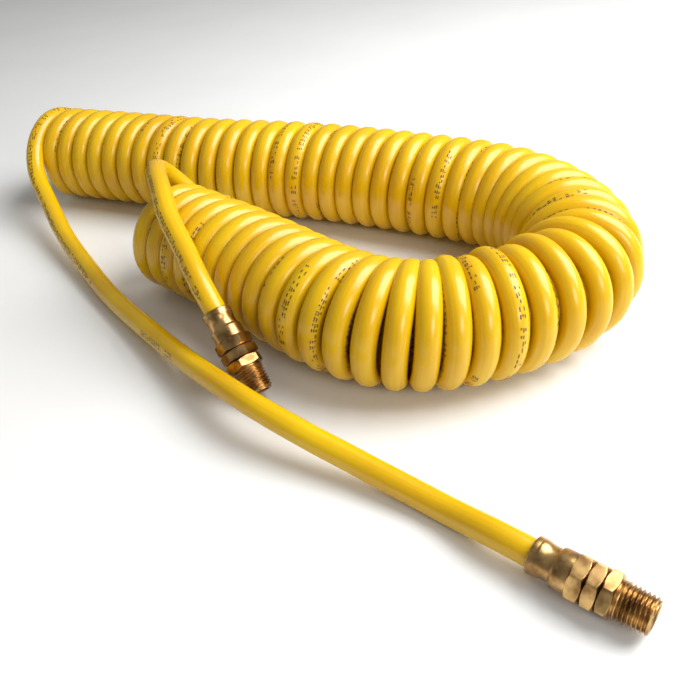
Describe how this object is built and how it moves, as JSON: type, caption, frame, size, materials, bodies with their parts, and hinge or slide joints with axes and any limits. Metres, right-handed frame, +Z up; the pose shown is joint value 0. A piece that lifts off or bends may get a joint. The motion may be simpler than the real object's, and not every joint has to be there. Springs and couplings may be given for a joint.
{
  "type": "coiled air hose",
  "caption": "Self-storing spiral air hose: a tight polyurethane coil bent into a U, a leader at each end, and swivelling male taper-thread brass fittings.",
  "frame": {"origin": "on the floor the hose lies on, under the middle of the whole object's bounding box", "axes": "+Z up from the floor; +X to the viewer's right and towards the bend of the U; +Y away from the viewer, from the front fitting towards the coil's far run"},
  "size_m": [0.3267, 0.3812, 0.066],
  "materials": {
    "hose": "glossy yellow polyurethane, slightly translucent",
    "brass": "machined, satin, slightly dulled",
    "acetal": "white acetal",
    "rubber": "matt black",
    "steel": "bright spring steel"
  },
  "bodies": {
    "hose": {"hose_coil": "hose", "hose_leader_long": "hose", "hose_leader_short": "hose", "front_compression_nut": "brass", "front_compression_sleeve": "brass", "front_hose_end": "hose", "front_barbed_stem": "brass", "front_thrust_washer": "acetal", "front_swivel_oring": "rubber", "front_retaining_ring": "steel", "rear_compression_nut": "brass", "rear_compression_sleeve": "brass", "rear_hose_end": "hose", "rear_barbed_stem": "brass", "rear_thrust_washer": "acetal", "rear_swivel_oring": "rubber", "rear_retaining_ring": "steel"},
    "front_swivel": {"front_swivel_nipple": "brass"},
    "rear_swivel": {"rear_swivel_nipple": "brass"}
  },
  "joints": [
    {"name": "front_nipple_swivel", "type": "hinge", "parent": "hose", "child": "front_swivel", "pos_m": [0.0791, -0.1603, 0.0084], "axis": [0.7512, -0.6601, 0], "continuous": true},
    {"name": "rear_nipple_swivel", "type": "hinge", "parent": "hose", "child": "rear_swivel", "pos_m": [-0.0296, -0.041, 0.0316], "axis": [0.4241, -0.6252, -0.6552], "continuous": true}
  ]
}
